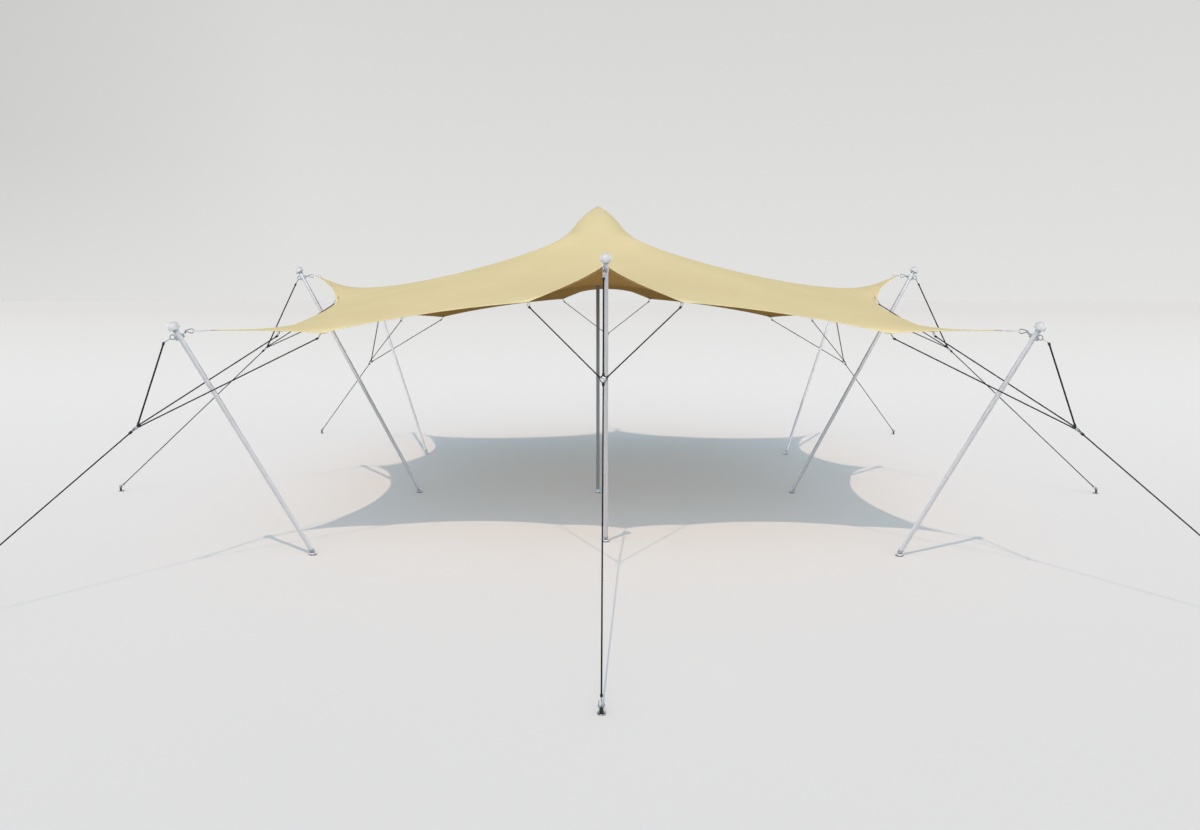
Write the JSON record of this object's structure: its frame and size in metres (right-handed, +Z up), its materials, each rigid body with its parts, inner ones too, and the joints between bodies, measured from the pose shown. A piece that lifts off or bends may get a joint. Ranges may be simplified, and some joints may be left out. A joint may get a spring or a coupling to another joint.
{
  "type": "stretch tent",
  "caption": "Open-sided stretch tent: a sand-coloured fabric canopy drawn over a centre pole and leaning edge masts, held by bridles and guy lines to ground anchors.",
  "frame": {"origin": "on the ground at the middle between the ground anchors; the centre pole stands 111 mm to its left", "axes": "+Z up, +X to the tent's right and +Y to its back, as seen from the front"},
  "size_m": [13.998, 13.784, 4.0025],
  "materials": {
    "canopy_fabric": "coated two-way stretch fabric, sand above and brown beneath, matt",
    "mast_aluminium": "mill-finish tube, satin",
    "cap_plastic": "off-white moulded domes, satin",
    "polished_steel": "polished stainless wire and links",
    "black_rope": "black braided polyester rope",
    "anchor_steel": "zinc-plated steel plates and fittings"
  },
  "bodies": {
    "root": {"canopy": "canopy_fabric", "centre_pole": "mast_aluminium", "centre_pole_head": "mast_aluminium", "centre_pole_foot": "anchor_steel", "mast_front_left": "mast_aluminium", "mast_cap_front_left": "cap_plastic", "tail_hook_front_left": "polished_steel", "guy_front_left": "black_rope", "anchor_front_left": "anchor_steel", "mast_front": "mast_aluminium", "mast_cap_front": "cap_plastic", "tail_hook_front": "polished_steel", "guy_front": "black_rope", "anchor_front": "anchor_steel", "mast_front_right": "mast_aluminium", "mast_cap_front_right": "cap_plastic", "tail_hook_front_right": "polished_steel", "guy_front_right": "black_rope", "anchor_front_right": "anchor_steel", "mast_right": "mast_aluminium", "mast_cap_right": "cap_plastic", "tail_hook_right": "polished_steel", "guy_right": "black_rope", "anchor_right": "anchor_steel", "mast_back_right": "mast_aluminium", "mast_cap_back_right": "cap_plastic", "tail_hook_back_right": "polished_steel", "guy_back_right": "black_rope", "anchor_back_right": "anchor_steel", "mast_back": "mast_aluminium", "mast_cap_back": "cap_plastic", "tail_hook_back": "polished_steel", "guy_back": "black_rope", "anchor_back": "anchor_steel", "mast_back_left": "mast_aluminium", "mast_cap_back_left": "cap_plastic", "tail_hook_back_left": "polished_steel", "guy_back_left": "black_rope", "anchor_back_left": "anchor_steel", "mast_left": "mast_aluminium", "mast_cap_left": "cap_plastic", "tail_hook_left": "polished_steel", "guy_left": "black_rope", "anchor_left": "anchor_steel"}
  },
  "joints": []
}
